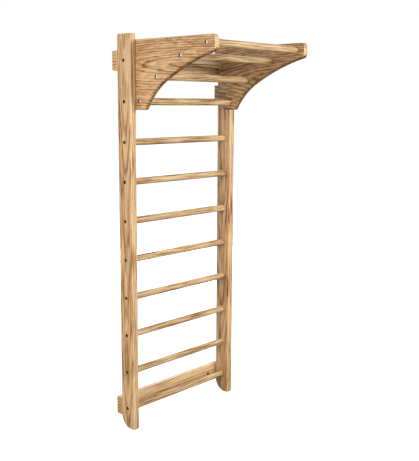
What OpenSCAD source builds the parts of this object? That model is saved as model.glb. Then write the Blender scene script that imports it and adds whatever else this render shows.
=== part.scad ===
// Wall bars with a hook-on pull-up unit.
// Millimetres, +X right as seen from the room, +Y into the wall, +Z up.
// The origin is the centre of the four wall fixings, on the wall plane.

/* [Frame] */
// Distance between the axes of two neighbouring rungs
rung_pitch = 215; // [175:5:260]
// Number of rungs between the two uprights
rung_count = 10; // [10:1:10]
// Width over the outer faces of the two uprights
overall_width = 840; // [660:10:1010]
// Width of an upright, across the frame
upright_thickness = 42; // [38:1:52]
// Depth of an upright, from its rear face to its front face
upright_depth = 105; // [86:1:130]
// Height of the uprights above the axis of the top rung
top_overhang = 138; // [110:1:170]
// Height of the uprights below the axis of the bottom rung
foot_drop = 118; // [100:1:145]
// Radius of the skirting cut at the rear of each foot
foot_radius = 72; // [50:1:80]
// Radius of the long rounded edges of the uprights and boards
edge_round = 8; // [4:0.5:10]

/* [Rungs] */
// Diameter of every rung and grip
rung_d = 38; // [30:1:46]
// Depth of the blind socket a rung sits in
socket_depth = 14; // [10:1:16]
// Radial clearance of a rung in its socket
rung_clearance = 0.2; // [0.1:0.05:0.5]

/* [Wall boards] */
// Thickness of the two wall boards
board_thickness = 42; // [34:1:52]
// Height of the two wall boards
board_height = 105; // [84:1:128]
// Distance between the two wall fixings in one board
fixing_spacing = 615; // [500:5:700]
// Diameter of a wall fixing hole
fixing_hole_d = 10; // [8:0.5:12]
// Diameter of the counterbore around a wall fixing hole
fixing_bore_d = 20; // [16:0.5:26]
// Depth of the counterbore around a wall fixing hole
fixing_bore_depth = 16; // [10:1:24]

/* [Pull-up unit] */
// Thickness of a bracket board
bracket_thickness = 33; // [27:1:40]
// Side clearance between a bracket and its upright
side_clearance = 0.6; // [0.4:0.1:0.9]
// Gap between the rear edge of a bracket and the wall boards
rear_gap = 7; // [4:0.5:12]
// Length of a bracket from its rear edge to its tip
bracket_reach = 660; // [550:5:790]
// Height of the bracket's top edge above the axis of the top rung
bracket_rise = 108; // [88:1:128]
// Depth of the bracket's bottom edge below the axis of the second rung
bracket_drop = 43; // [36:1:52]
// Distance from the bracket's rear edge to the front of its bottom edge
bracket_foot = 161; // [140:1:180]
// Radius of the tight lower part of the bracket's curved edge
curve_radius_low = 394; // [330:2:470]
// Radius of the wide upper part of the bracket's curved edge
curve_radius_high = 1245; // [1050:5:1500]
// Steepness of the curved edge at the bottom of the bracket, from upright
curve_start_angle = 29.3; // [26:0.1:33]
// Steepness of the curved edge where its two parts meet, from upright
curve_meet_angle = 61.8; // [57:0.1:65]
// Radius of the two corners at the tip of a bracket
tip_round = 25; // [18:1:28]
// Radius of the corners at the bottom of a bracket
bottom_round = 14; // [8:1:18]
// Radius of the rounded edges of a bracket
bracket_edge_round = 8; // [5:0.5:10]

/* [Hooks] */
// Clearance of the hook's round seat around the top rung
seat_clearance = 0.4; // [0.3:0.05:0.8]
// Distance from the axis of the top rung forward to the front of the entry slot
slot_front = 7.5; // [0:0.5:12]
// Depth of the entry slot's lower edge below the axis of the top rung
slot_drop = 115; // [96:1:136]
// Angle, up from straight forward, at which the unit leaves its rungs
lift_angle = 45; // [40:1:50]
// Free height above the second rung under the bracket's rear tab
tab_gap = 3; // [2:0.5:8]

/* [Grips] */
// Distance from the tip of a bracket back to the axis of the first grip
grip_1_setback = 60; // [50:1:72]
// Place of the second grip between the first and the last, as a share
grip_2_share = 0.367; // [0.31:0.001:0.43]
// Place of the third grip between the first and the last, as a share
grip_3_share = 0.734; // [0.68:0.001:0.78]
// Distance from the rear edge of a bracket to the axis of the last grip
grip_4_out = 120; // [112:1:135]
// Distance from the curved edge in to the axis of the first grip
grip_1_inset = 55; // [46:1:62]
// Distance from the curved edge in to the axis of the second grip
grip_2_inset = 60; // [46:1:70]
// Distance from the curved edge in to the axis of the third grip
grip_3_inset = 52; // [42:1:70]
// Distance from the curved edge in to the axis of the last grip
grip_4_inset = 58; // [46:1:62]
// Depth of the blind socket a grip sits in
grip_socket_depth = 10; // [7:1:12]

/* [Screws] */
// Diameter of the counterbore over a rung screw
screw_bore_d = 19; // [16:0.5:24]
// Depth of the counterbore over a rung screw or a board screw
screw_bore_depth = 20; // [12:0.5:21]
// Depth of the counterbore over a grip screw
grip_bore_depth = 13; // [8:0.5:15]
// Diameter of a rung screw's pan head
screw_head_d = 15; // [12:0.5:15]
// Height of a rung screw's pan head
screw_head_height = 5; // [3:0.5:6]
// Shank diameter of a rung screw
screw_d = 6; // [5:0.5:8]
// Length of a rung screw inside the rung
screw_grip_length = 45; // [30:1:70]
// Radial clearance of a screw in its hole
screw_clearance = 0.15; // [0.1:0.05:0.4]
// Across flats of the hexagon drive in a screw head
drive_size = 5; // [4:0.5:6]
// Depth of the hexagon drive in a screw head
drive_depth = 2.5; // [1:0.5:3]
// Shank diameter of a board screw
board_screw_d = 7; // [5:0.5:8]
// Diameter of a board screw's head
board_screw_head_d = 14; // [12:0.5:18]
// Length of a board screw inside the upright
board_screw_grip = 50; // [30:1:70]
// Vertical distance between the two board screws at one upright
board_screw_spacing = 60; // [44:1:72]

/* [Hidden] */
$fn = 96;
eps = 0.01;
past = 5;
half_width = overall_width / 2;
inner_half = half_width - upright_thickness;
upright_rear = -board_thickness;
upright_front = upright_rear - upright_depth;
rung_y = upright_rear - upright_depth / 2;
top_rung_z = rung_pitch * (rung_count - 1) / 2;
upright_top = top_rung_z + top_overhang;
upright_bottom = -top_rung_z - foot_drop;
upright_height = upright_top - upright_bottom;
socket_r = rung_d / 2 + rung_clearance;

bracket_rear = upright_rear - rear_gap;
bracket_tip = bracket_rear - bracket_reach;
bracket_top = top_rung_z + bracket_rise;
second_rung_z = top_rung_z - rung_pitch;
bracket_bottom = second_rung_z - bracket_drop;
bracket_height = bracket_top - bracket_bottom;
bracket_outer = inner_half - side_clearance;
bracket_inner = bracket_outer - bracket_thickness;

curve_start = [bracket_rear - bracket_foot, bracket_bottom];
start_dir = [cos(curve_start_angle), sin(curve_start_angle)];
meet_dir = [cos(curve_meet_angle), sin(curve_meet_angle)];
// The arcs cross at a slight angle and the fillets bite slightly into them,
// so that no two round faces only graze each other
arc_crossing = 1.5;
fillet_bite = 0.1;
high_dir = [cos(curve_meet_angle - arc_crossing), sin(curve_meet_angle - arc_crossing)];
low_centre = curve_start - curve_radius_low * start_dir;
curve_meet = low_centre + curve_radius_low * meet_dir;
high_centre = curve_meet - curve_radius_high * high_dir;

seat_r = rung_d / 2 + seat_clearance;
seat = [rung_y, top_rung_z];
leave_dir = [cos(lift_angle), -sin(lift_angle)];
across_dir = [sin(lift_angle), cos(lift_angle)];
slot_face = rung_y - slot_front;
slot_floor = top_rung_z - slot_drop;
cut_face = rung_y - seat_r;
cut_roof = second_rung_z + rung_d / 2 + tab_gap;

// Height of a point on the curve, moved into the board by the inset
function on_arc(c, r, y) = c[1] + sqrt(pow(r, 2) - pow(y - c[0], 2));
function on_curve(y, inset) =
    y < curve_meet[0] + inset * meet_dir[0]
    ? on_arc(high_centre, curve_radius_high + inset, y)
    : on_arc(low_centre, curve_radius_low + inset, y);

// The fillet between a big arc and the straight edge at the tip
tip_z = on_arc(high_centre, curve_radius_high + tip_round - fillet_bite, bracket_tip + tip_round);
tip_centre = [bracket_tip + tip_round, tip_z];
// The fillet between the low arc and the bottom edge
base_z = bracket_bottom + bottom_round;
base_reach = curve_radius_low + bottom_round - fillet_bite;
base_run = sqrt(pow(base_reach, 2) - pow(base_z - low_centre[1], 2));
base_centre = [low_centre[0] + base_run, base_z];

grip_1_y = bracket_tip + grip_1_setback;
grip_4_y = bracket_rear - grip_4_out;
grip_run = grip_4_y - grip_1_y;
grip_2_y = grip_1_y + grip_run * grip_2_share;
grip_3_y = grip_1_y + grip_run * grip_3_share;
grips = [
    [grip_1_y, on_curve(grip_1_y, grip_1_inset)],
    [grip_2_y, on_curve(grip_2_y, grip_2_inset)],
    [grip_3_y, on_curve(grip_3_y, grip_3_inset)],
    [grip_4_y, on_curve(grip_4_y, grip_4_inset)]
];

wood = [0.80, 0.62, 0.44];
dark_wood = [0.74, 0.56, 0.39];
rung_wood = [0.86, 0.70, 0.51];
steel = [0.82, 0.82, 0.84];

function rung_z(n) = top_rung_z - (n - 1) * rung_pitch;

// A flat shape drawn in Y and Z, given a thickness from x towards +X
module side_plate(x, thickness) {
    translate([x, 0, 0])
        rotate([90, 0, 90])
            linear_extrude(height = thickness) children();
}

// A flat shape drawn in X and Z, given a depth from y towards +Y
module front_plate(y, depth) {
    translate([0, y + depth, 0])
        rotate([90, 0, 0])
            linear_extrude(height = depth) children();
}

module rounded_rect(low, high, r) {
    difference() {
        translate(low) square(high - low);
        corner_cut([low[0], low[1]], [1, 1], r);
        corner_cut([high[0], low[1]], [-1, 1], r);
        corner_cut([low[0], high[1]], [1, -1], r);
        corner_cut([high[0], high[1]], [-1, -1], r);
    }
}

// What a rounded corner takes away; inward says which way the shape lies
module corner_cut(corner, inward, r) {
    translate(corner)
        scale_to(inward)
            difference() {
                translate([-past, -past]) square(r + past);
                translate([r, r]) circle(r);
            }
}

// Turns a first-quarter shape into the quarter that inward points at
module scale_to(inward) {
    mirror([inward[0] < 0 ? 1 : 0, 0])
        mirror([0, inward[1] < 0 ? 1 : 0])
            children();
}

module rod(x, length, r, y, z) {
    translate([x, y, z])
        rotate([0, 90, 0])
            cylinder(h = length, r = r);
}

// ---- uprights

module upright_side() {
    difference() {
        rounded_rect([upright_front, upright_bottom], [upright_rear, upright_top], edge_round);
        corner_cut([upright_rear, upright_bottom], [-1, 1], foot_radius);
    }
}

module upright_body(side) {
    x = side < 0 ? -half_width : inner_half;
    low = [x, upright_bottom];
    high = [x + upright_thickness, upright_top];
    difference() {
        intersection() {
            side_plate(x, upright_thickness) upright_side();
            front_plate(upright_front, upright_depth) rounded_rect(low, high, edge_round);
            translate([0, 0, upright_bottom])
                linear_extrude(height = upright_height)
                    rounded_rect([x, upright_front], [x + upright_thickness, upright_rear], edge_round);
        }
        for (n = [1:rung_count]) {
            rod(side < 0 ? -inner_half - socket_depth : inner_half - past,
                socket_depth + past, socket_r, rung_y, rung_z(n));
            rod(side < 0 ? -half_width - past : half_width - screw_bore_depth,
                screw_bore_depth + past, screw_bore_d / 2, rung_y, rung_z(n));
            rod(x - past, upright_thickness + 2 * past,
                screw_d / 2 + screw_clearance, rung_y, rung_z(n));
        }
        for (z = board_screw_heights())
            translate([side * (half_width - upright_thickness / 2), upright_rear - board_screw_grip - past, z])
                rotate([-90, 0, 0])
                    cylinder(h = board_screw_grip + 2 * past, r = board_screw_d / 2 + screw_clearance);
    }
}

function board_screw_heights() = [
    top_rung_z - board_screw_spacing / 2,
    top_rung_z + board_screw_spacing / 2,
    -top_rung_z - board_screw_spacing / 2,
    -top_rung_z + board_screw_spacing / 2
];

module left_upright() {
    color(wood) upright_body(-1);
}

module right_upright() {
    color(wood) upright_body(1);
}

// ---- wall boards

module wall_board(z) {
    low_x = -half_width;
    high_x = half_width;
    head_r = board_screw_head_d / 2 + screw_clearance;
    difference() {
        intersection() {
            side_plate(low_x, overall_width)
                rounded_rect([-board_thickness, z - board_height / 2],
                             [0, z + board_height / 2], edge_round / 2);
            translate([0, 0, z - board_height / 2])
                linear_extrude(height = board_height)
                    rounded_rect([low_x, -board_thickness], [high_x, 0], edge_round / 2);
        }
        for (side = [-1, 1]) {
            translate([side * fixing_spacing / 2, -board_thickness - past, z])
                rotate([-90, 0, 0]) {
                    cylinder(h = board_thickness + 2 * past, r = fixing_hole_d / 2);
                    cylinder(h = fixing_bore_depth + past, r = fixing_bore_d / 2);
                }
            for (dz = [-0.5, 0.5])
                translate([side * (half_width - upright_thickness / 2), 0, z + dz * board_screw_spacing])
                    rotate([90, 0, 0]) {
                        translate([0, 0, -past])
                            cylinder(h = board_thickness + 2 * past, r = board_screw_d / 2 + screw_clearance);
                        translate([0, 0, -past])
                            cylinder(h = screw_bore_depth + past, r = head_r);
                    }
        }
    }
}

module upper_wall_board() {
    color(dark_wood) wall_board(top_rung_z);
}

module lower_wall_board() {
    color(dark_wood) wall_board(-top_rung_z);
}

// ---- rungs and grips

// A round bar between the bottoms of two sockets, drilled for its end screws
module bar(half_length, y, z) {
    difference() {
        rod(-half_length, 2 * half_length, rung_d / 2, y, z);
        rod(-half_length - past, screw_grip_length + past, screw_d / 2 + screw_clearance, y, z);
        rod(half_length - screw_grip_length, screw_grip_length + past,
            screw_d / 2 + screw_clearance, y, z);
    }
}

module rung(n) {
    color(rung_wood) bar(inner_half + socket_depth, rung_y, rung_z(n));
}

module grip(n) {
    color(rung_wood) bar(bracket_inner + grip_socket_depth, grips[n - 1][0], grips[n - 1][1]);
}

module rung_01() { rung(1); }
module rung_02() { rung(2); }
module rung_03() { rung(3); }
module rung_04() { rung(4); }
module rung_05() { rung(5); }
module rung_06() { rung(6); }
module rung_07() { rung(7); }
module rung_08() { rung(8); }
module rung_09() { rung(9); }
module rung_10() { rung(10); }
module grip_1() { grip(1); }
module grip_2() { grip(2); }
module grip_3() { grip(3); }
module grip_4() { grip(4); }

// ---- brackets

// The space under the two arcs of the curved edge
module curve_space() {
    span = 2 * curve_radius_high;
    beside = [meet_dir[1], -meet_dir[0]];
    limit = curve_meet + past * beside;
    intersection() {
        translate(high_centre) circle(curve_radius_high, $fn = 720);
        polygon([
            limit + past * meet_dir,
            limit - span * meet_dir,
            limit - span * meet_dir - span * beside,
            limit + past * meet_dir - span * beside
        ]);
    }
    translate(low_centre) circle(curve_radius_low, $fn = 360);
}

module hook_space() {
    translate(seat) circle(seat_r);
    rear = bracket_rear + past;
    upper = seat + seat_r * across_dir;
    lower = seat - seat_r * across_dir;
    fall = leave_dir[1] / leave_dir[0];
    polygon([
        [slot_face, slot_floor],
        [rear, slot_floor],
        [rear, upper[1] + fall * (rear - upper[0])],
        upper,
        lower,
        [slot_face, lower[1] + fall * (slot_face - lower[0])]
    ]);
}

module lower_cut() {
    difference() {
        translate([cut_face, bracket_bottom - past])
            square([bracket_rear - cut_face + past, cut_roof - bracket_bottom + past]);
        corner_cut([cut_face, cut_roof], [1, -1], seat_r);
    }
}

module bracket_side() {
    difference() {
        translate([bracket_tip, bracket_bottom]) square([bracket_reach, bracket_height]);
        curve_space();
        hook_space();
        lower_cut();
        corner_cut([bracket_tip, bracket_top], [1, -1], tip_round);
        corner_cut([cut_face, bracket_bottom], [-1, 1], bottom_round);
    }
}

// Takes away the sharp corner between one of the big arcs and a straight edge
module arc_corner_cut(arc_centre, arc_r, centre, edge_point, outside) {
    towards = (centre - arc_centre) / norm(centre - arc_centre);
    touch = arc_centre + arc_r * towards;
    difference() {
        polygon([edge_point, centre, touch, touch - past * towards, outside]);
        translate(centre) circle(norm(edge_point - centre));
    }
}

module bracket_body(side) {
    x = side < 0 ? -bracket_outer : bracket_inner;
    depth = bracket_rear - bracket_tip;
    difference() {
        intersection() {
            side_plate(x, bracket_thickness) bracket_side();
            front_plate(bracket_tip, depth)
                rounded_rect([x, bracket_bottom - 2 * past],
                             [x + bracket_thickness, bracket_top], bracket_edge_round);
            translate([0, 0, bracket_bottom])
                linear_extrude(height = bracket_height)
                    rounded_rect([x, bracket_tip],
                                 [x + bracket_thickness, bracket_rear + 2 * past], bracket_edge_round);
        }
        side_plate(x - past, bracket_thickness + 2 * past)
            arc_corner_cut(high_centre, curve_radius_high, tip_centre,
                           [bracket_tip, tip_z], [bracket_tip - past, tip_z - 2 * tip_round]);
        side_plate(x - past, bracket_thickness + 2 * past)
            arc_corner_cut(low_centre, curve_radius_low, base_centre,
                           [base_centre[0], bracket_bottom],
                           [base_centre[0] - 2 * bottom_round, bracket_bottom - past]);
        for (g = grips) {
            rod(side < 0 ? -bracket_inner - grip_socket_depth : bracket_inner - past,
                grip_socket_depth + past, socket_r, g[0], g[1]);
            rod(side < 0 ? -bracket_outer - past : bracket_outer - grip_bore_depth,
                grip_bore_depth + past, screw_bore_d / 2, g[0], g[1]);
            rod(x - past, bracket_thickness + 2 * past,
                screw_d / 2 + screw_clearance, g[0], g[1]);
        }
    }
}

module left_bracket() {
    color(wood) bracket_body(-1);
}

module right_bracket() {
    color(wood) bracket_body(1);
}

// ---- screws

// A pan-head screw lying along X, its head's underside at x, pointing at the middle
module end_screw(side, x, length, y, z) {
    translate([x, y, z])
        rotate([0, side * -90, 0])
            difference() {
                union() {
                    translate([0, 0, -screw_head_height]) cylinder(h = screw_head_height, r = screw_head_d / 2);
                    translate([0, 0, -eps]) cylinder(h = length + eps, r = screw_d / 2);
                }
                translate([0, 0, -screw_head_height - past])
                    cylinder(h = drive_depth + past, r = drive_size / sqrt(3), $fn = 6);
            }
}

module rung_screws(side) {
    x = side * (half_width - screw_bore_depth);
    length = upright_thickness - screw_bore_depth - socket_depth + screw_grip_length - 1;
    for (n = [1:rung_count]) end_screw(side, x, length, rung_y, rung_z(n));
}

module grip_screws(side) {
    x = side * (bracket_outer - grip_bore_depth);
    length = bracket_thickness - grip_bore_depth - grip_socket_depth + screw_grip_length - 1;
    for (g = grips) end_screw(side, x, length, g[0], g[1]);
}

module board_screws(z) {
    for (side = [-1, 1])
        for (dz = [-0.5, 0.5])
            translate([side * (half_width - upright_thickness / 2), -screw_bore_depth, z + dz * board_screw_spacing])
                rotate([90, 0, 0])
                    difference() {
                        union() {
                            translate([0, 0, -screw_head_height])
                                cylinder(h = screw_head_height, r = board_screw_head_d / 2);
                            translate([0, 0, -eps])
                                cylinder(h = board_thickness - screw_bore_depth + board_screw_grip - 1 + eps,
                                         r = board_screw_d / 2);
                        }
                        translate([0, 0, -screw_head_height - past])
                            cylinder(h = drive_depth + past, r = drive_size / sqrt(3), $fn = 6);
                    }
}

module left_rung_screws() { color(steel) rung_screws(-1); }
module right_rung_screws() { color(steel) rung_screws(1); }
module left_grip_screws() { color(steel) grip_screws(-1); }
module right_grip_screws() { color(steel) grip_screws(1); }
module upper_board_screws() { color(steel) board_screws(top_rung_z); }
module lower_board_screws() { color(steel) board_screws(-top_rung_z); }

left_upright();
right_upright();
upper_wall_board();
lower_wall_board();
rung_01();
rung_02();
rung_03();
rung_04();
rung_05();
rung_06();
rung_07();
rung_08();
rung_09();
rung_10();
left_bracket();
right_bracket();
grip_1();
grip_2();
grip_3();
grip_4();
left_rung_screws();
right_rung_screws();
left_grip_screws();
right_grip_screws();
upper_board_screws();
lower_board_screws();
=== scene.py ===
import math

import bpy
from mathutils import Matrix, Vector


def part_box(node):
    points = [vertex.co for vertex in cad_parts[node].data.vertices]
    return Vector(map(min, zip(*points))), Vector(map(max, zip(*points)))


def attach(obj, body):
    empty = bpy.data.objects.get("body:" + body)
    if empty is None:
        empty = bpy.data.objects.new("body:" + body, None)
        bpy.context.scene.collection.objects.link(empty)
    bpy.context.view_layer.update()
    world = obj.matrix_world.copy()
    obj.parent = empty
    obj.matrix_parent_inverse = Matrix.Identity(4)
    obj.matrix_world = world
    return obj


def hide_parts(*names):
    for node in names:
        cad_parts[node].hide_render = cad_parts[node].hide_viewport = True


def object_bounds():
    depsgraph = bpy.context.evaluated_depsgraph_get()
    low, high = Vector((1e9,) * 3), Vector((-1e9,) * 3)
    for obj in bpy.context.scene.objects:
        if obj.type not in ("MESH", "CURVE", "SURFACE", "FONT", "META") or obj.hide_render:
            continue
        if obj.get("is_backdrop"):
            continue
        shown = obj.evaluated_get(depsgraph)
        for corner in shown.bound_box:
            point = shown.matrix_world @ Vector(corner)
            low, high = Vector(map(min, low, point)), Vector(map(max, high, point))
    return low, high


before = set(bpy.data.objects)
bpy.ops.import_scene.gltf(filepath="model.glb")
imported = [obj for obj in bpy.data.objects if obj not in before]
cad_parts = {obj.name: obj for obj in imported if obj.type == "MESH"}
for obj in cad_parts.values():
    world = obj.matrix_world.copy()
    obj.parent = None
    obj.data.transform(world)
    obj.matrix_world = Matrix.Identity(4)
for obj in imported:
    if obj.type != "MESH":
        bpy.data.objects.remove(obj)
cad_low, cad_high = (tuple(corner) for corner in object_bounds())

# Wooden wall bars with a hook-on pull-up unit. Metres, +X right, +Y into the wall, +Z up.

# ---------------------------------------------------------------- sizes taken from the frame

BOX = {name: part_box(name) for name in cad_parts}
RUNGS = [f"rung_{n:02d}" for n in range(1, 11)]
GRIPS = [f"grip_{n}" for n in range(1, 5)]


def low(node):
    return Vector(BOX[node][0])


def high(node):
    return Vector(BOX[node][1])


def middle(node):
    return (low(node) + high(node)) / 2


NEAR = 1e-4
ROUND = 0.008
FOOT_ROUND = 0.072
BOARD_ROUND = 0.007
BAR_ROUND = 0.0012

# counterbores over the screws, the screws' holes and the bars' sockets
BORE_RADIUS = 0.0095
UPRIGHT_BORE = 0.020
BRACKET_BORE = 0.013
PILOT_RADIUS = 0.0033
RUNG_RADIUS = (high("rung_05").z - low("rung_05").z) / 2
SOCKET_RADIUS = RUNG_RADIUS + 0.0002
UPRIGHT_SOCKET = 0.014
BRACKET_SOCKET = 0.010

# wall fixings and the screws that hold the wall boards
FIXING_X = 0.3075
FIXING_BORE = 0.010
FIXING_BORE_DEPTH = 0.016
FIXING_HOLE = 0.005
THROUGH = 0.08
BOARD_SCREW_X = 0.399
BOARD_SCREW_RISE = 0.03
BOARD_SCREW_BORE = 0.00715

# ---------------------------------------------------------------- hand tools


def clear_selection():
    if bpy.context.object and bpy.context.object.mode != "OBJECT":
        bpy.ops.object.mode_set(mode="OBJECT")
    bpy.ops.object.select_all(action="DESELECT")


def pick(piece):
    clear_selection()
    piece.select_set(True)
    bpy.context.view_layer.objects.active = piece


def settle(piece):
    pick(piece)
    bpy.ops.object.transform_apply(location=True, rotation=True, scale=True)
    return piece


def block(name, lowest, highest):
    lowest, highest = Vector(lowest), Vector(highest)
    clear_selection()
    bpy.ops.mesh.primitive_cube_add(size=1, location=(lowest + highest) / 2)
    piece = bpy.context.object
    piece.name = name
    piece.scale = highest - lowest
    return settle(piece)


TURN = {"X": (0, math.pi / 2, 0), "Y": (math.pi / 2, 0, 0), "Z": (0, 0, 0)}


def rod(name, centre, radius, length, axis="X", sides=48):
    clear_selection()
    bpy.ops.mesh.primitive_cylinder_add(
        vertices=sides, radius=radius, depth=length, location=centre, rotation=TURN[axis]
    )
    bpy.context.object.name = name
    return settle(bpy.context.object)


def choose_edges(piece, wanted):
    """Selects in edit mode, and counts, the edges whose middle and direction pass the test."""
    pick(piece)
    bpy.ops.object.mode_set(mode="EDIT")
    bpy.ops.mesh.select_mode(type="EDGE")
    bpy.ops.mesh.select_all(action="DESELECT")
    bpy.ops.object.mode_set(mode="OBJECT")
    mesh = piece.data
    count = 0
    for edge in mesh.edges:
        a, b = (mesh.vertices[i].co for i in edge.vertices)
        if wanted((a + b) / 2, (b - a).normalized()):
            edge.select = True
            count += 1
    bpy.ops.object.mode_set(mode="EDIT")
    return count


def round_edges(piece, radius, steps, wanted):
    if choose_edges(piece, wanted):
        bpy.ops.mesh.bevel(
            offset=radius, offset_type="OFFSET", segments=steps, profile=0.5,
            affect="EDGES", clamp_overlap=False, miter_outer="SHARP",
        )
    bpy.ops.object.mode_set(mode="OBJECT")


def join(pieces):
    clear_selection()
    for piece in pieces:
        piece.select_set(True)
    bpy.context.view_layer.objects.active = pieces[0]
    if len(pieces) > 1:
        bpy.ops.object.join()
    return pieces[0]


def carve(piece, cutter):
    """Cuts the joined tools out of a piece; they may overlap each other."""
    pick(piece)
    tool = piece.modifiers.new("cut", "BOOLEAN")
    tool.operation = "DIFFERENCE"
    tool.solver = "EXACT"
    tool.use_self = True
    tool.object = cutter
    bpy.ops.object.modifier_apply(modifier=tool.name)
    bpy.data.objects.remove(cutter, do_unlink=True)


def smooth(piece, degrees=32):
    """Smooth shading that leaves the large flat faces flat."""
    pick(piece)
    bpy.ops.object.shade_smooth_by_angle(angle=math.radians(degrees))
    even = piece.modifiers.new("even", "WEIGHTED_NORMAL")
    even.weight = 100
    even.keep_sharp = True
    bpy.ops.object.modifier_apply(modifier=even.name)


def bore_bars(piece, bars, outer_x, inner_x, bore, socket):
    """A counterbore from outside, a socket from inside and a screw hole between, for each bar."""
    tools = []
    for bar in bars:
        at = middle(bar)
        tools.append(rod("bore", (outer_x, at.y, at.z), BORE_RADIUS, 2 * bore))
        tools.append(rod("socket", (inner_x, at.y, at.z), SOCKET_RADIUS, 2 * socket, sides=64))
        tools.append(rod("hole", ((outer_x + inner_x) / 2, at.y, at.z), PILOT_RADIUS,
                         abs(outer_x - inner_x), sides=24))
    carve(piece, join(tools))


def flipped(piece, name):
    """A copy mirrored across the middle plane, its faces turned out again."""
    other = piece.copy()
    other.data = piece.data.copy()
    other.name = name
    bpy.context.collection.objects.link(other)
    other.data.transform(Matrix.Diagonal((-1, 1, 1, 1)))
    pick(other)
    bpy.ops.object.mode_set(mode="EDIT")
    bpy.ops.mesh.select_all(action="SELECT")
    bpy.ops.mesh.flip_normals()
    bpy.ops.object.mode_set(mode="OBJECT")
    return other


# ---------------------------------------------------------------- materials


def new_group(name, inputs, outputs):
    group = bpy.data.node_groups.new(name, "ShaderNodeTree")
    for label, kind, value in inputs:
        socket = group.interface.new_socket(label, in_out="INPUT", socket_type=kind)
        if value is not None:
            socket.default_value = value
    for label, kind in outputs:
        group.interface.new_socket(label, in_out="OUTPUT", socket_type=kind)
    return group, group.nodes.new("NodeGroupInput"), group.nodes.new("NodeGroupOutput")


class Bench:
    """Short hands for adding and wiring nodes in one tree."""

    def __init__(self, tree):
        self.tree = tree

    def put(self, kind, **settings):
        node = self.tree.nodes.new(kind)
        for key, value in settings.items():
            setattr(node, key, value)
        return node

    def wire(self, source, target):
        self.tree.links.new(source, target)

    def feed(self, node, values):
        for key, value in values.items():
            if hasattr(value, "is_output"):
                self.wire(value, node.inputs[key])
            else:
                node.inputs[key].default_value = value
        return node

    def math(self, operation, *values, clamp=False):
        node = self.put("ShaderNodeMath", operation=operation, use_clamp=clamp)
        self.feed(node, dict(enumerate(values)))
        return node.outputs[0]

    def vector(self, operation, *values):
        node = self.put("ShaderNodeVectorMath", operation=operation)
        self.feed(node, dict(enumerate(values)))
        return node.outputs["Value" if operation == "LENGTH" else "Vector"]

    def noise(self, vector, scale, detail=2.0, roughness=0.5):
        node = self.put("ShaderNodeTexNoise")
        return self.feed(node, {"Vector": vector, "Scale": scale, "Detail": detail,
                                "Roughness": roughness})

    def spread(self, value, from_low, from_high, to_low, to_high):
        node = self.put("ShaderNodeMapRange", clamp=True)
        self.feed(node, {0: value, 1: from_low, 2: from_high, 3: to_low, 4: to_high})
        return node.outputs[0]

    def ramp(self, value, stops):
        node = self.put("ShaderNodeValToRGB")
        self.wire(value, node.inputs[0])
        marks = node.color_ramp.elements
        while len(marks) < len(stops):
            marks.new(0.5)
        for mark, (place, shade) in zip(marks, stops):
            mark.position = place
            mark.color = (shade, shade, shade, 1) if isinstance(shade, float) else (*shade, 1)
        return node.outputs[0]

    def mix(self, amount, first, second):
        node = self.put("ShaderNodeMix", data_type="RGBA", blend_type="MIX")
        self.feed(node, {"Factor": amount})
        for key, value in ((6, first), (7, second)):
            if hasattr(value, "is_output"):
                self.wire(value, node.inputs[key])
            else:
                node.inputs[key].default_value = (*value, 1)
        return node.outputs[2]


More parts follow.
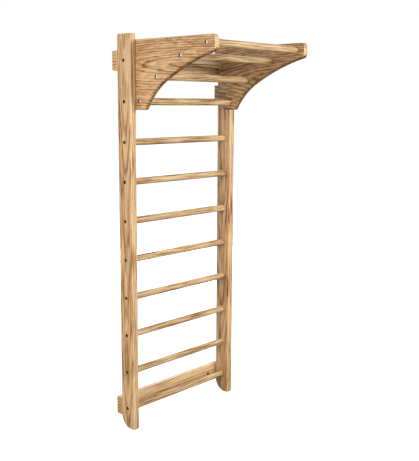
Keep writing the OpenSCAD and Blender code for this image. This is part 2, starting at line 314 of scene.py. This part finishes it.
def make_figure_group():
    """Growth rings round a pith line along local Z, with streaks, fibres, pores and slow tone."""
    group, inside, outside = new_group(
        "wood_figure",
        [("Vector", "NodeSocketVector", None), ("Pith", "NodeSocketVector", (0, 0, 0)),
         ("Ring Width", "NodeSocketFloat", 0.006), ("Waviness", "NodeSocketFloat", 0.02),
         ("Wave Scale", "NodeSocketFloat", 4.0), ("Streak Scale", "NodeSocketFloat", 60.0),
         ("Streak Stretch", "NodeSocketFloat", 0.06)],
        [(label, "NodeSocketFloat")
         for label in ("Late Wood", "Fibre", "Pores", "Streak", "Line", "Tone")],
    )
    b = Bench(group)
    place = inside.outputs["Vector"]
    slow = b.vector("MULTIPLY", place, (1.0, 1.0, 0.30))
    wave = b.noise(slow, inside.outputs["Wave Scale"], 2.5, 0.45)
    bend = b.vector("SUBTRACT", wave.outputs["Color"], (0.5, 0.5, 0.5))
    size = b.put("ShaderNodeCombineXYZ")
    b.feed(size, {0: inside.outputs["Waviness"], 1: inside.outputs["Waviness"], 2: 0.0})
    bend = b.vector("MULTIPLY", bend, size.outputs[0])
    ripple = b.noise(b.vector("MULTIPLY", place, (1.0, 1.0, 0.09)), 38.0, 2.0, 0.5)
    small = b.vector("MULTIPLY", b.vector("SUBTRACT", ripple.outputs["Color"], (0.5, 0.5, 0.5)),
                     (0.006, 0.006, 0.0))
    bent = b.vector("ADD", b.vector("ADD", place, bend), small)
    from_pith = b.vector("SUBTRACT", bent, inside.outputs["Pith"])
    from_pith = b.vector("MULTIPLY", from_pith, (1.0, 1.0, 0.0))
    count = b.math("DIVIDE", b.vector("LENGTH", from_pith), inside.outputs["Ring Width"])
    within = b.math("FRACT", count)
    ring = b.put("ShaderNodeTexWhiteNoise", noise_dimensions="1D")
    b.wire(b.math("FLOOR", count), ring.inputs["W"])
    strength = b.spread(ring.outputs["Value"], 0.0, 1.0, 0.2, 1.0)
    late = b.ramp(within, [(0.0, 0.5), (0.16, 0.05), (0.45, 0.0), (0.78, 0.55), (0.92, 1.0),
                           (1.0, 0.5)])
    b.wire(b.math("MULTIPLY", late, strength), outside.inputs["Late Wood"])
    squeeze = b.put("ShaderNodeCombineXYZ")
    b.feed(squeeze, {0: 1.0, 1: 1.0, 2: inside.outputs["Streak Stretch"]})
    drawn = b.vector("ADD", bent, b.vector("MULTIPLY", small, (2.0, 2.0, 0.0)))
    drawn = b.vector("MULTIPLY", drawn, squeeze.outputs[0])
    streak = b.noise(drawn, inside.outputs["Streak Scale"], 2.5, 0.55)
    b.wire(b.spread(streak.outputs["Fac"], 0.42, 0.62, 0.0, 1.0), outside.inputs["Streak"])
    line = b.vector("MULTIPLY", b.vector("ADD", place, small), (1.0, 1.0, 0.030))
    line = b.noise(line, 170.0, 2.0, 0.5)
    b.wire(b.spread(line.outputs["Fac"], 0.50, 0.64, 0.0, 1.0), outside.inputs["Line"])
    fibre = b.noise(b.vector("MULTIPLY", place, (1.0, 1.0, 0.025)), 520.0, 3.0, 0.6)
    b.wire(fibre.outputs["Fac"], outside.inputs["Fibre"])
    pore = b.noise(b.vector("MULTIPLY", place, (1.0, 1.0, 0.05)), 640.0, 1.0, 0.5)
    b.wire(b.spread(pore.outputs["Fac"], 0.60, 0.70, 0.0, 1.0), outside.inputs["Pores"])
    tone = b.noise(b.vector("MULTIPLY", place, (1.0, 1.0, 0.35)), 7.0, 2.0, 0.5)
    b.wire(b.spread(tone.outputs["Fac"], 0.34, 0.66, -1.0, 1.0), outside.inputs["Tone"])
    return group


def make_edge_rubbing_and_highlight_group():
    """Paler, smoother wood along the rounded edges of a board whose wide faces look along X: part
    rubbed wood, part painted highlight where the rounding catches the light.
    """
    group, inside, outside = new_group(
        "edge_rubbing_and_highlight", [("Scale", "NodeSocketFloat", 30.0)], [("Rubbing And Highlight", "NodeSocketFloat")])
    b = Bench(group)
    spot = b.put("ShaderNodeTexCoord")
    apart = b.put("ShaderNodeSeparateXYZ")
    b.wire(spot.outputs["Normal"], apart.inputs[0])
    across = b.math("ABSOLUTE", apart.outputs["X"])
    turn = b.math("MULTIPLY", across, b.math("SUBTRACT", 1.0, across))
    band = b.spread(turn, 0.05, 0.24, 0.0, 1.0)
    patchy = b.noise(spot.outputs["Object"], inside.outputs["Scale"], 3.0, 0.6)
    b.wire(b.math("MULTIPLY", band, b.spread(patchy.outputs["Fac"], 0.35, 0.6, 0.45, 1.0)),
           outside.inputs["Rubbing And Highlight"])
    return group


def make_end_grain_group():
    """Where a surface cuts across the grain, and where it faces down, away from the light: the
    second is painted shade for undersides.
    """
    group, inside, outside = new_group(
        "end_grain", [("Grain", "NodeSocketVector", (0, 0, 1))],
        [("End", "NodeSocketFloat"), ("Painted Shade Below", "NodeSocketFloat")])
    b = Bench(group)
    spot = b.put("ShaderNodeTexCoord")
    facing = b.put("ShaderNodeVectorMath", operation="DOT_PRODUCT")
    b.feed(facing, {0: spot.outputs["Normal"], 1: inside.outputs["Grain"]})
    across = b.math("ABSOLUTE", facing.outputs["Value"])
    b.wire(b.spread(across, 0.62, 0.92, 0.0, 1.0), outside.inputs["End"])
    apart = b.put("ShaderNodeSeparateXYZ")
    b.wire(spot.outputs["Normal"], apart.inputs[0])
    b.wire(b.spread(apart.outputs["Z"], -0.15, -0.50, 0.0, 1.0), outside.inputs["Painted Shade Below"])
    return group


FIGURE = make_figure_group()
EDGE_RUBBING_AND_HIGHLIGHT = make_edge_rubbing_and_highlight_group()
END_GRAIN = make_end_grain_group()
GRAIN_LINE = {"X": (1, 0, 0), "Y": (0, 1, 0), "Z": (0, 0, 1)}
GRAIN_ORDER = {"Z": ("X", "Y", "Z"), "X": ("Y", "Z", "X"), "Y": ("Z", "X", "Y")}


def make_wood(name, grain, pith, ring_width, waviness, wave_scale, colours, rings=0.5,
              streaks=0.55, lines=0.40, streak_scale=85.0, streak_stretch=0.045, offset=-0.02,
              tilt=(0, 0, 0), rubbing_and_highlight=1.0, underside=0.08, ends=1.0):
    """One wood: where its pith runs, how wide its rings are, and how strong each mark is."""
    pale, mid, dark, deep = colours
    material = bpy.data.materials.new(name)
    material.use_nodes = True
    b = Bench(material.node_tree)
    shader = material.node_tree.nodes["Principled BSDF"]
    spot = b.put("ShaderNodeTexCoord")
    apart = b.put("ShaderNodeSeparateXYZ")
    b.wire(spot.outputs["Object"], apart.inputs[0])
    again = b.put("ShaderNodeCombineXYZ")
    for index, axis in enumerate(GRAIN_ORDER[grain]):
        b.wire(apart.outputs[axis], again.inputs[index])
    turned = b.put("ShaderNodeMapping")
    b.feed(turned, {"Vector": again.outputs[0], "Rotation": tilt})
    figure = b.put("ShaderNodeGroup")
    figure.node_tree = FIGURE
    b.feed(figure, {"Vector": turned.outputs[0], "Pith": pith, "Ring Width": ring_width,
                    "Waviness": waviness, "Wave Scale": wave_scale,
                    "Streak Scale": streak_scale, "Streak Stretch": streak_stretch})
    late, fibre, pores, streak, line, tone = figure.outputs
    edge = b.put("ShaderNodeGroup")
    edge.node_tree = EDGE_RUBBING_AND_HIGHLIGHT
    cut = b.put("ShaderNodeGroup")
    cut.node_tree = END_GRAIN
    cut.inputs[0].default_value = GRAIN_LINE[grain]
    end = cut.outputs[0]
    streak_marks = b.math("MULTIPLY", streak, streaks)
    long_marks = b.math("ADD", streak_marks, b.math("MULTIPLY", line, lines))
    off_ends = b.math("SUBTRACT", 1.0, b.math("MULTIPLY", end, 0.85))
    long_marks = b.math("MULTIPLY", long_marks, off_ends)
    ring_strength = b.math("ADD", rings, b.math("MULTIPLY", end, 0.5 * ends))
    ring_marks = b.math("MULTIPLY", late, ring_strength)
    shade = b.math("ADD", ring_marks, long_marks)
    shade = b.math("ADD", shade, b.math("MULTIPLY", end, 0.32 * ends))
    # painted shade: faces that look down are darkened
    shade = b.math("ADD", shade, b.math("MULTIPLY", cut.outputs[1], underside))
    shade = b.math("ADD", shade, b.spread(fibre, 0.3, 0.72, -0.12, 0.12))
    shade = b.math("ADD", shade, b.math("MULTIPLY", tone, 0.10))
    shade = b.math("ADD", shade, offset)
    # edges paler: part rubbed wood, part painted highlight
    shade = b.math("SUBTRACT", shade, b.math("MULTIPLY", edge.outputs[0], 0.34 * rubbing_and_highlight), clamp=True)
    colour = b.ramp(shade, [(0.0, pale), (0.36, mid), (0.74, dark), (1.0, deep)])
    colour = b.mix(b.math("MULTIPLY", pores, 0.35), colour, deep)
    b.wire(colour, shader.inputs["Base Color"])
    rough = b.spread(b.math("ADD", fibre, b.math("MULTIPLY", late, 0.4)), 0.2, 1.1, 0.56, 0.40)
    rough = b.math("SUBTRACT", rough, b.math("MULTIPLY", edge.outputs[0], 0.10))
    b.wire(rough, shader.inputs["Roughness"])
    height = b.math("SUBTRACT", b.math("MULTIPLY", fibre, 0.5), b.math("MULTIPLY", pores, 0.8))
    height = b.math("ADD", height, b.math("MULTIPLY", late, 0.6))
    bump = b.put("ShaderNodeBump")
    b.feed(bump, {"Strength": 0.35, "Distance": 0.0006, "Height": height})
    b.wire(bump.outputs[0], shader.inputs["Normal"])
    shader.inputs["Specular IOR Level"].default_value = 0.35
    shader.inputs["Coat Weight"].default_value = 0.08
    shader.inputs["Coat Roughness"].default_value = 0.35
    return material


# from pale early wood to the deep colour of the pores
BOARD_COLOURS = ((0.80, 0.53, 0.285), (0.60, 0.340, 0.150),
                 (0.36, 0.168, 0.060), (0.16, 0.066, 0.023))
RUNG_COLOURS = ((0.75, 0.52, 0.285), (0.61, 0.375, 0.170),
                (0.40, 0.205, 0.080), (0.20, 0.09, 0.032))
UPRIGHT_MARKS = {"rings": 0.75, "streaks": 0.35, "lines": 0.55, "tilt": (0, 0.03, 0),
                 "rubbing_and_highlight": 1.6, "offset": -0.06}
BRACKET_MARKS = {"rings": 0.85, "streaks": 0.40, "lines": 0.25, "rubbing_and_highlight": 1.4, "ends": 0.0,
                 "streak_scale": 70.0, "streak_stretch": 0.05, "underside": 0.58}

left_upright_wood = make_wood(
    "left_upright_wood", "Z", (-0.35, -0.100, 0), 0.0095, 0.045, 3.0, BOARD_COLOURS,
    **UPRIGHT_MARKS)
right_upright_wood = make_wood(
    "right_upright_wood", "Z", (0.47, -0.080, 0), 0.0095, 0.045, 3.0, BOARD_COLOURS,
    **UPRIGHT_MARKS)
# offset=-0.28 makes this board paler than the lower one: painted light where it lies in shade
# between the uprights and under the pull-up unit
upper_board_wood = make_wood(
    "upper_board_wood", "X", (-0.05, 0.55, 0), 0.016, 0.030, 3.6, BOARD_COLOURS,
    rings=0.6, streaks=0.35, offset=-0.28, ends=1.3)
lower_board_wood = make_wood(
    "lower_board_wood", "X", (-0.05, -1.38, 0), 0.016, 0.030, 3.6, BOARD_COLOURS,
    rings=0.6, streaks=0.35, offset=-0.20, ends=1.3)
rung_wood = make_wood(
    "rung_wood", "X", (-0.30, 0.10, 0), 0.010, 0.035, 5.0, RUNG_COLOURS,
    rings=0.45, streaks=0.60, lines=0.65, streak_scale=110.0, streak_stretch=0.035,
    offset=-0.02, underside=0.0)
left_bracket_wood = make_wood(
    "left_bracket_wood", "Y", (0.93, -0.30, 0), 0.0125, 0.060, 3.4, BOARD_COLOURS,
    tilt=(0.14, 0, 0), **BRACKET_MARKS)
# offset=0.12 darkens this bracket against the left one: painted shade for its inner face, which the
# left bracket shadows
right_bracket_shaded_wood = make_wood(
    "right_bracket_shaded_wood", "Y", (0.88, 0.46, 0), 0.0125, 0.060, 3.4, BOARD_COLOURS,
    tilt=(0.12, 0, 0), offset=0.12, **BRACKET_MARKS)


def make_bore_wall_shade():
    """The wall that a drill leaves, painted near black: painted shade inside the bore."""
    material = bpy.data.materials.new("bore_wall_shade")
    material.use_nodes = True
    b = Bench(material.node_tree)
    shader = material.node_tree.nodes["Principled BSDF"]
    spot = b.put("ShaderNodeTexCoord")
    # painted shade: the bore walls are coloured near black
    shade_noise = b.noise(spot.outputs["Object"], 700.0, 3.0, 0.6)
    painted_dark = b.ramp(shade_noise.outputs["Fac"], [(0.3, (0.035, 0.018, 0.008)), (0.7, (0.10, 0.055, 0.025))])
    b.wire(painted_dark, shader.inputs["Base Color"])
    b.wire(b.spread(shade_noise.outputs["Fac"], 0.3, 0.7, 0.55, 0.8), shader.inputs["Roughness"])
    bump = b.put("ShaderNodeBump")
    b.feed(bump, {"Strength": 0.3, "Distance": 0.0002, "Height": shade_noise.outputs["Fac"]})
    b.wire(bump.outputs[0], shader.inputs["Normal"])
    return material


bore_wall_shade = make_bore_wall_shade()
SMALL_FACE = 5e-4
DRILL_REACH = 0.0005


def in_screw_bores(board, bars, depth):
    """A test for the points inside the counterbores over the screws of these bars."""
    axes = [middle(bar) for bar in bars]
    bottom = max(abs(low(board).x), abs(high(board).x)) - depth - DRILL_REACH
    return lambda at: abs(at.x) > bottom and any(
        math.hypot(at.y - axis.y, at.z - axis.z) < BORE_RADIUS + DRILL_REACH for axis in axes)


def make_zinc():
    """Bright zinc, with a faint painted glow that stands in for the little light that reaches a
    head in its bore.
    """
    material = bpy.data.materials.new("screw_zinc")
    material.use_nodes = True
    b = Bench(material.node_tree)
    shader = material.node_tree.nodes["Principled BSDF"]
    spot = b.put("ShaderNodeTexCoord")
    mottled = b.noise(spot.outputs["Object"], 900.0, 3.0, 0.6)
    fine = b.noise(spot.outputs["Object"], 4200.0, 2.0, 0.5)
    colour = b.ramp(mottled.outputs["Fac"], [(0.3, (0.88, 0.88, 0.88)), (0.7, (0.98, 0.98, 0.98))])
    b.wire(colour, shader.inputs["Base Color"])
    b.wire(b.spread(mottled.outputs["Fac"], 0.3, 0.7, 0.28, 0.42), shader.inputs["Roughness"])
    bump = b.put("ShaderNodeBump")
    b.feed(bump, {"Strength": 0.15, "Distance": 0.0001, "Height": fine.outputs["Fac"]})
    b.wire(bump.outputs[0], shader.inputs["Normal"])
    shader.inputs["Metallic"].default_value = 0.15
    # painted light: the heads glow instead of being lit
    shader.inputs["Emission Color"].default_value = (0.95, 0.97, 1.0, 1)
    shader.inputs["Emission Strength"].default_value = 0.30
    return material


zinc = make_zinc()


def finish_piece(piece, body, slot, material, *nodes, drilled=None):
    """Gives a piece its wood, painted dark shade on the faces that a drill cut, and its body."""
    piece.data.materials.clear()
    piece.data.materials.append(material)
    if drilled:
        piece.data.materials.append(bore_wall_shade)
        for face in piece.data.polygons:
            if face.area < SMALL_FACE and drilled(face.center):
                face.material_index = 1
    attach(piece, body)
    if nodes:
        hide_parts(*nodes)


# ---------------------------------------------------------------- uprights


def make_upright(node, side):
    lowest, highest = low(node), high(node)
    piece = block(node + "_board", lowest, highest)

    def at_heel(m, d):
        return abs(d.x) > 0.9 and abs(m.y - highest.y) < NEAR and abs(m.z - lowest.z) < NEAR

    def on_outline(m, d):
        on_side = m.x < lowest.x + NEAR or m.x > highest.x - NEAR
        on_top = m.z > highest.z - NEAR
        at_toe = m.z < lowest.z + NEAR and m.y < lowest.y + NEAR
        return on_side or (abs(d.x) > 0.9 and (on_top or at_toe))

    round_edges(piece, FOOT_ROUND, 24, at_heel)
    round_edges(piece, ROUND, 6, on_outline)
    outer_x = lowest.x if side < 0 else highest.x
    inner_x = highest.x if side < 0 else lowest.x
    bore_bars(piece, RUNGS, outer_x, inner_x, UPRIGHT_BORE, UPRIGHT_SOCKET)
    smooth(piece)
    material = left_upright_wood if side < 0 else right_upright_wood
    finish_piece(piece, "wall_frame", "upright_wood", material, node,
                 drilled=in_screw_bores(node, RUNGS, UPRIGHT_BORE))


make_upright("left_upright", -1)
make_upright("right_upright", 1)

# ---------------------------------------------------------------- wall boards


def make_board(node, material):
    lowest, highest = low(node), high(node)
    piece = block(node + "_plank", lowest, highest)
    round_edges(piece, BOARD_ROUND, 4, lambda m, d: True)
    z = middle(node).z
    tools = []
    for side in (-1, 1):
        x = side * FIXING_X
        tools.append(rod("bore", (x, lowest.y, z), FIXING_BORE, 2 * FIXING_BORE_DEPTH, "Y"))
        tools.append(rod("hole", (x, middle(node).y, z), FIXING_HOLE, THROUGH, "Y", 32))
        for rise in (-BOARD_SCREW_RISE, BOARD_SCREW_RISE):
            tools.append(rod("bore", (side * BOARD_SCREW_X, highest.y, z + rise),
                             BOARD_SCREW_BORE, 2 * UPRIGHT_BORE, "Y", 32))
    carve(piece, join(tools))
    smooth(piece)

    def in_fixing(at):
        return math.hypot(abs(at.x) - FIXING_X, at.z - z) < FIXING_BORE + DRILL_REACH

    finish_piece(piece, "wall_frame", "board_wood", material, node, drilled=in_fixing)


make_board("upper_wall_board", upper_board_wood)
make_board("lower_wall_board", lower_board_wood)

# ---------------------------------------------------------------- rungs and grips


def make_bar(node, body, slot):
    length = high(node).x - low(node).x
    piece = rod(node + "_bar", middle(node), RUNG_RADIUS, length, "X", 64)
    round_edges(piece, BAR_ROUND, 2, lambda m, d: abs(abs(m.x) - length / 2) < NEAR)
    smooth(piece, 40)
    finish_piece(piece, body, slot, rung_wood, node)


for rung in RUNGS:
    make_bar(rung, "wall_frame", "rung_wood")
for grip in GRIPS:
    make_bar(grip, "pull_up_unit", "grip_wood")

# ---------------------------------------------------------------- brackets

REAR, TIP = high("left_bracket").y, low("left_bracket").y
TOP, BOTTOM = high("left_bracket").z, low("left_bracket").z

# the curved lower edge: a tight arc up from the foot, then a flat one out to the tip
FOOT_LENGTH = 0.161
LOW_RADIUS, LOW_START, LOW_END = 0.394, 29.3, 61.8
HIGH_RADIUS, HIGH_START = 1.245, 60.3
TIP_STRAIGHT = 1.4

# the hook over the top rung and the cut for the second
SEAT_CLEARANCE = 0.0004
SLOT_FRONT = 0.0075
SLOT_DROP = 0.115
TAB_GAP = 0.003
SEAT_RADIUS = RUNG_RADIUS + SEAT_CLEARANCE
SEAT, SECOND = middle("rung_01"), middle("rung_02")
SLOT_FACE, SLOT_FLOOR = SEAT.y - SLOT_FRONT, SEAT.z - SLOT_DROP
CUT_FACE, CUT_ROOF = SECOND.y - SEAT_RADIUS, SECOND.z + RUNG_RADIUS + TAB_GAP

# how far each corner of the side is rounded
TIP_ROUND = 0.025
TIP_UNDER_ROUND = 0.020
FOOT_FRONT_ROUND = 0.0082
FOOT_REAR_ROUND = 0.014


def towards(degrees):
    return Vector((0, math.cos(math.radians(degrees)), math.sin(math.radians(degrees))))


def bracket_path():
    """A bracket's side: its first corner, the lines and arcs that follow, and what is rounded."""
    start = Vector((0, REAR - FOOT_LENGTH, BOTTOM))
    low_centre = start - LOW_RADIUS * towards(LOW_START)
    meet = low_centre + LOW_RADIUS * towards(LOW_END)
    high_centre = meet - HIGH_RADIUS * towards(HIGH_START)
    tip_angle = math.degrees(math.acos((TIP - high_centre.y) / HIGH_RADIUS))
    tip_z = high_centre.z + HIGH_RADIUS * math.sin(math.radians(tip_angle))
    reach = SEAT_RADIUS * math.sqrt(0.5)
    upper = (SEAT.y + reach, SEAT.z + reach)
    lower = (SEAT.y - reach, SEAT.z - reach)
    path = [
        ("arc", low_centre, LOW_END - LOW_START, 24),
        ("arc", high_centre, tip_angle - HIGH_START - TIP_STRAIGHT, 34),
        ("line", TIP, tip_z),
        ("line", TIP, TOP),
        ("line", REAR, TOP),
        ("line", REAR, upper[1] - (REAR - upper[0])),
        ("line", *upper),
        ("arc", Vector((0, SEAT.y, SEAT.z)), 180, 24),
        ("line", SLOT_FACE, lower[1] - (SLOT_FACE - lower[0])),
        ("line", SLOT_FACE, SLOT_FLOOR),
        ("line", REAR, SLOT_FLOOR),
        ("line", REAR, CUT_ROOF),
        ("line", CUT_FACE, CUT_ROOF),
        ("line", CUT_FACE, BOTTOM),
    ]
    corners = [
        ((TIP, tip_z), TIP_UNDER_ROUND, 10),
        ((TIP, TOP), TIP_ROUND, 10),
        ((start.y, BOTTOM), FOOT_FRONT_ROUND, 6),
        ((CUT_FACE, BOTTOM), FOOT_REAR_ROUND, 8),
        ((CUT_FACE, CUT_ROOF), SEAT_RADIUS, 10),
    ]
    return start, path, corners


def trace(name, x, start, path):
    """One point, extruded along straight lines and spun round arcs, then filled to a flat side."""
    clear_selection()
    bpy.ops.mesh.primitive_plane_add(size=0.01, location=(x, start.y, start.z))
    piece = bpy.context.object
    piece.name = name
    settle(piece)
    bpy.ops.object.mode_set(mode="EDIT")
    bpy.ops.mesh.select_mode(type="VERT")
    bpy.ops.mesh.select_all(action="SELECT")
    bpy.ops.mesh.merge(type="CENTER")
    at = (start.y, start.z)
    for kind, *step in path:
        if kind == "line":
            bpy.ops.mesh.extrude_region_move(
                TRANSFORM_OT_translate={"value": (0, step[0] - at[0], step[1] - at[1])})
            at = (step[0], step[1])
        else:
            centre, angle, count = step
            bpy.ops.mesh.spin(steps=count, angle=-math.radians(angle), axis=(1, 0, 0),
                              center=(x, centre.y, centre.z))
            turn = Matrix.Rotation(math.radians(angle), 2)
            hub = Vector((centre.y, centre.z))
            at = tuple(turn @ (Vector(at) - hub) + hub)
    bpy.ops.mesh.select_all(action="SELECT")
    bpy.ops.mesh.remove_doubles(threshold=1e-5)
    bpy.ops.mesh.edge_face_add()
    bpy.ops.object.mode_set(mode="OBJECT")
    return piece


def round_corner(piece, corner, reach, steps):
    """Rounds one corner of a flat side."""
    pick(piece)
    bpy.ops.object.mode_set(mode="EDIT")
    bpy.ops.mesh.select_mode(type="VERT")
    bpy.ops.mesh.select_all(action="DESELECT")
    bpy.ops.object.mode_set(mode="OBJECT")
    for vertex in piece.data.vertices:
        away = abs(vertex.co.y - corner[0]), abs(vertex.co.z - corner[1])
        vertex.select = max(away) < NEAR
    bpy.ops.object.mode_set(mode="EDIT")
    bpy.ops.mesh.bevel(offset=reach, offset_type="OFFSET", segments=steps, profile=0.5,
                       affect="VERTICES", clamp_overlap=False)
    bpy.ops.object.mode_set(mode="OBJECT")


def make_bracket(name):
    """The left bracket: a side traced once, given its thickness, its edges rounded, then bored."""
    node = "left_bracket"
    lowest, highest = low(node), high(node)
    start, path, corners = bracket_path()
    piece = trace(name, lowest.x, start, path)
    for corner, reach, steps in corners:
        round_corner(piece, corner, reach, steps)
    bpy.ops.object.mode_set(mode="EDIT")
    bpy.ops.mesh.select_all(action="SELECT")
    thickness = highest.x - lowest.x
    bpy.ops.mesh.extrude_region_move(TRANSFORM_OT_translate={"value": (thickness, 0, 0)})
    bpy.ops.mesh.select_all(action="SELECT")
    bpy.ops.mesh.normals_make_consistent(inside=False)
    bpy.ops.object.mode_set(mode="OBJECT")

    def on_outline(m, d):
        """The edges to round; the hook and the cut stay sharp."""
        in_front = m.y < CUT_FACE + NEAR and (m.z < CUT_ROOF - 0.001 or m.y < CUT_FACE - 0.001)
        hooked = m.y > CUT_FACE - 0.002 and BOTTOM + 0.015 < m.z < TOP - NEAR
        on_top = m.z > TOP - NEAR
        return abs(d.x) < 0.5 and (on_top or (in_front and not hooked))

    round_edges(piece, ROUND, 6, on_outline)
    bore_bars(piece, GRIPS, lowest.x, highest.x, BRACKET_BORE, BRACKET_SOCKET)
    smooth(piece)
    return piece


left_board = make_bracket("left_bracket_board")
right_board = flipped(left_board, "right_bracket_board")
in_grip_bores = in_screw_bores("left_bracket", GRIPS, BRACKET_BORE)
for board, material, node in ((left_board, left_bracket_wood, "left_bracket"),
                              (right_board, right_bracket_shaded_wood, "right_bracket")):
    finish_piece(board, "pull_up_unit", "bracket_wood", material, node, drilled=in_grip_bores)

# ---------------------------------------------------------------- screws

for node in ("left_rung_screws", "right_rung_screws", "left_grip_screws", "right_grip_screws",
             "upper_board_screws", "lower_board_screws"):
    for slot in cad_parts[node].material_slots:
        slot.material = zinc

# ---------------------------------------------------------------- floor, light and camera


def make_paper():
    """White studio paper that reads white in view but throws little light back up."""
    thrown, shown, lift = 0.20, 0.90, 0.72
    material = bpy.data.materials.new("studio_paper")
    material.use_nodes = True
    b = Bench(material.node_tree)
    shader = material.node_tree.nodes["Principled BSDF"]
    seen = b.put("ShaderNodeLightPath").outputs["Is Camera Ray"]
    b.wire(b.mix(seen, (thrown,) * 3, (shown,) * 3), shader.inputs["Base Color"])
    shader.inputs["Emission Color"].default_value = (1, 1, 1, 1)
    b.wire(b.math("MULTIPLY", seen, lift), shader.inputs["Emission Strength"])
    shader.inputs["Roughness"].default_value = 0.95
    shader.inputs["Specular IOR Level"].default_value = 0.0
    return material


clear_selection()
bpy.ops.mesh.primitive_plane_add(size=60, location=(0, 0, cad_low[2] - 0.0005))
floor = bpy.context.object
floor.name = "studio_floor"
floor.data.materials.append(make_paper())
floor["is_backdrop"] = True

world = bpy.data.worlds.new("studio")
bpy.context.scene.world = world
world.use_nodes = True
AMBIENT, AMBIENT_COLOUR = 0.52, (0.84, 0.97, 1.08)
sky = Bench(world.node_tree)
seen_sky = sky.put("ShaderNodeLightPath").outputs["Is Camera Ray"]
background = world.node_tree.nodes["Background"]
sky.wire(sky.spread(seen_sky, 0.0, 1.0, AMBIENT, 1.0), background.inputs["Strength"])
sky.wire(sky.mix(seen_sky, AMBIENT_COLOUR, (1, 1, 1)), background.inputs["Color"])


def area_light(name, place, aim, size, power, colour=(1, 1, 1)):
    lamp = bpy.data.lights.new(name, "AREA")
    lamp.color = colour
    lamp.shape = "SQUARE"
    lamp.size = size
    lamp.energy = power
    holder = bpy.data.objects.new(name, lamp)
    bpy.context.collection.objects.link(holder)
    holder.location = place
    holder.rotation_euler = (Vector(aim) - Vector(place)).to_track_quat("-Z", "Y").to_euler()


area_light("key_light", (1.2, -4.6, 1.6), (0, -0.2, 0.0), 1.6, 156, (1.0, 0.95, 0.88))
area_light("side_light", (-4.6, -0.8, 0.9), (0, -0.2, 0.2), 1.4, 101, (1.0, 0.88, 0.73))
area_light("front_light", (0.6, -4.4, 0.1), (0, -0.2, 0.1), 2.4, 45, (0.60, 0.82, 1.0))
area_light("fill_light", (-2.4, -3.6, 0.6), (0, -0.2, 0.1), 2.4, 24, (0.66, 0.88, 1.0))
area_light("back_light", (-3.6, 3.3, 0.6), (0, -0.1, 0.3), 2.2, 30)
area_light("rear_light", (3.4, 3.8, 0.3), (0, -0.1, 0.1), 2.6, 120, (1.0, 0.94, 0.86))

CAMERA_PLACE = (-3.117088, -3.205650, 0.749417)
HEADING, PITCH, ROLL = (math.radians(a) for a in (-47.325, 9.541, 0.342))

camera_data = bpy.data.cameras.new("camera")
camera = bpy.data.objects.new("camera", camera_data)
bpy.context.collection.objects.link(camera)
camera_data.sensor_width = 36
camera_data.lens = 59.3452581
camera_data.clip_end = 100
across = Vector((math.cos(HEADING), math.sin(HEADING), 0))
level = Vector((-math.sin(HEADING), math.cos(HEADING), 0))
ahead = level * math.cos(PITCH) - Vector((0, 0, math.sin(PITCH)))
upward = across.cross(ahead)
right = across * math.cos(ROLL) + upward * math.sin(ROLL)
above = upward * math.cos(ROLL) - across * math.sin(ROLL)
camera.matrix_world = Matrix((
    (right.x, above.x, -ahead.x, CAMERA_PLACE[0]),
    (right.y, above.y, -ahead.y, CAMERA_PLACE[1]),
    (right.z, above.z, -ahead.z, CAMERA_PLACE[2]),
    (0, 0, 0, 1),
))
bpy.context.scene.camera = camera
bpy.context.scene.view_settings.view_transform = "Standard"
